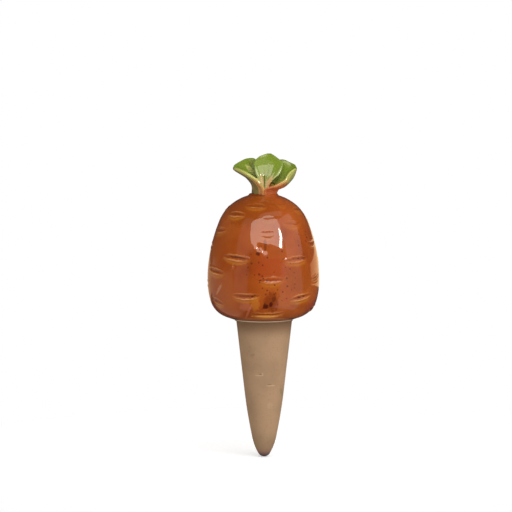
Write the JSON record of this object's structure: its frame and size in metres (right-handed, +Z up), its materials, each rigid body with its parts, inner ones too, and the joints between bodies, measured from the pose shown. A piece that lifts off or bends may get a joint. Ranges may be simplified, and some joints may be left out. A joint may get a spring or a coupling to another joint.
{
  "type": "watering stake",
  "caption": "Hollow ceramic watering stake: glazed carrot-shaped head with carved marks and a leaf crown, fill hole behind, bare tapered spike to push into soil.",
  "frame": {"origin": "on the axis where the spike meets the underside of the head, the soil line when it is pushed home", "axes": "+Z up along the spike and head, -Y the front, with the broad leaf; +Y the back, with the fill hole"},
  "size_m": [0.0588, 0.0589, 0.1567],
  "materials": {
    "glazed_clay": "glossy orange-brown and leaf-green glaze over tan clay, bare and matt on the spike"
  },
  "bodies": {
    "root": {"stake": "glazed_clay"}
  },
  "joints": []
}
